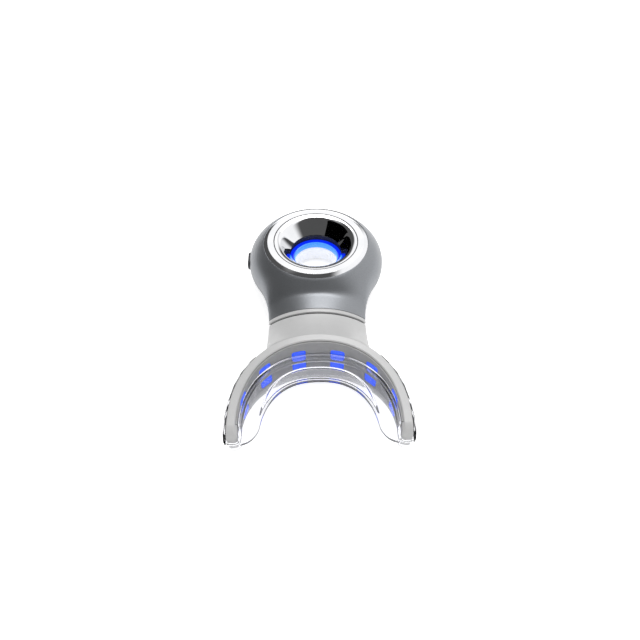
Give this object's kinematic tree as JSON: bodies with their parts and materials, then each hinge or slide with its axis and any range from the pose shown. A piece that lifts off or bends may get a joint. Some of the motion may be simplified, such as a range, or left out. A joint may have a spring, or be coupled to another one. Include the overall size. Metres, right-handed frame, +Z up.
{
  "type": "teeth whitening machine",
  "caption": "Cordless teeth whitening handpiece: round head with a lit finger bowl, side button, and a pull-off U-shaped mouthpiece with blue light windows and a clear bite tray.",
  "frame": {"origin": "centre of the object's footprint, on the table under it", "axes": "+Z up, +Y toward the round head, -Y toward the mouth side; the side button faces -X"},
  "size_m": [0.0618, 0.1148, 0.0228],
  "materials": {
    "silver_shell": "satin silver paint over moulded ABS",
    "mirror_trim": "mirror bright",
    "pale_plastic": "semi-gloss pale grey",
    "grey_panel": "satin grey",
    "blue_light": "lit blue lens",
    "small_lamp": "clear resin chip",
    "clear_silicone": "clear silicone",
    "dark_rubber": "matt dark rubber",
    "dark_plastic": "fine matt",
    "circuit_board": "green solder mask",
    "amber_film": "polyimide film",
    "cell_foil": "laminated foil pouch",
    "steel": "bright nickel",
    "gold_contact": "gold plated"
  },
  "bodies": {
    "handle": {"upper_housing": "silver_shell", "lower_housing": "silver_shell", "top_bowl_trim": "mirror_trim", "foot_ring": "pale_plastic", "light_guide_ring": "blue_light", "guide_seal": "dark_rubber", "throat_sleeve": "pale_plastic", "main_board": "circuit_board", "charge_socket": "steel", "switch_body": "dark_plastic", "battery_cell": "cell_foil", "neck_band": "pale_plastic", "contact_block": "dark_plastic", "ring_led_1": "small_lamp", "ring_led_2": "small_lamp", "ring_led_3": "small_lamp", "ring_led_4": "small_lamp", "ring_led_5": "small_lamp", "ring_led_6": "small_lamp", "housing_screw_1": "steel", "housing_screw_2": "steel", "housing_screw_3": "steel", "housing_screw_4": "steel", "contact_pin_1": "gold_contact", "contact_pin_2": "gold_contact", "contact_pin_3": "gold_contact", "contact_pin_4": "gold_contact"},
    "power_button": {"side_button": "dark_plastic", "switch_plunger": "steel"},
    "mouthpiece": {"arch_shell": "pale_plastic", "led_panel": "grey_panel", "flex_board": "amber_film", "plug_contact_board": "circuit_board", "seal_gasket": "dark_rubber", "bite_tray": "clear_silicone", "led_window_upper_1": "blue_light", "led_window_upper_2": "blue_light", "led_window_upper_3": "blue_light", "led_window_upper_4": "blue_light", "led_window_upper_5": "blue_light", "led_window_upper_6": "blue_light", "led_window_lower_1": "blue_light", "led_window_lower_2": "blue_light", "led_window_lower_3": "blue_light", "led_window_lower_4": "blue_light", "led_window_lower_5": "blue_light", "led_window_lower_6": "blue_light"}
  },
  "joints": [
    {"name": "button_press", "type": "slide", "parent": "handle", "child": "power_button", "axis": [1, 0, 0], "range_m": [0, 0.0004], "stiffness_N_per_m": 800, "springref_m": -0.0006},
    {"name": "mouthpiece_pull", "type": "slide", "parent": "handle", "child": "mouthpiece", "axis": [0, -1, 0], "range_m": [0, 0.012]}
  ]
}
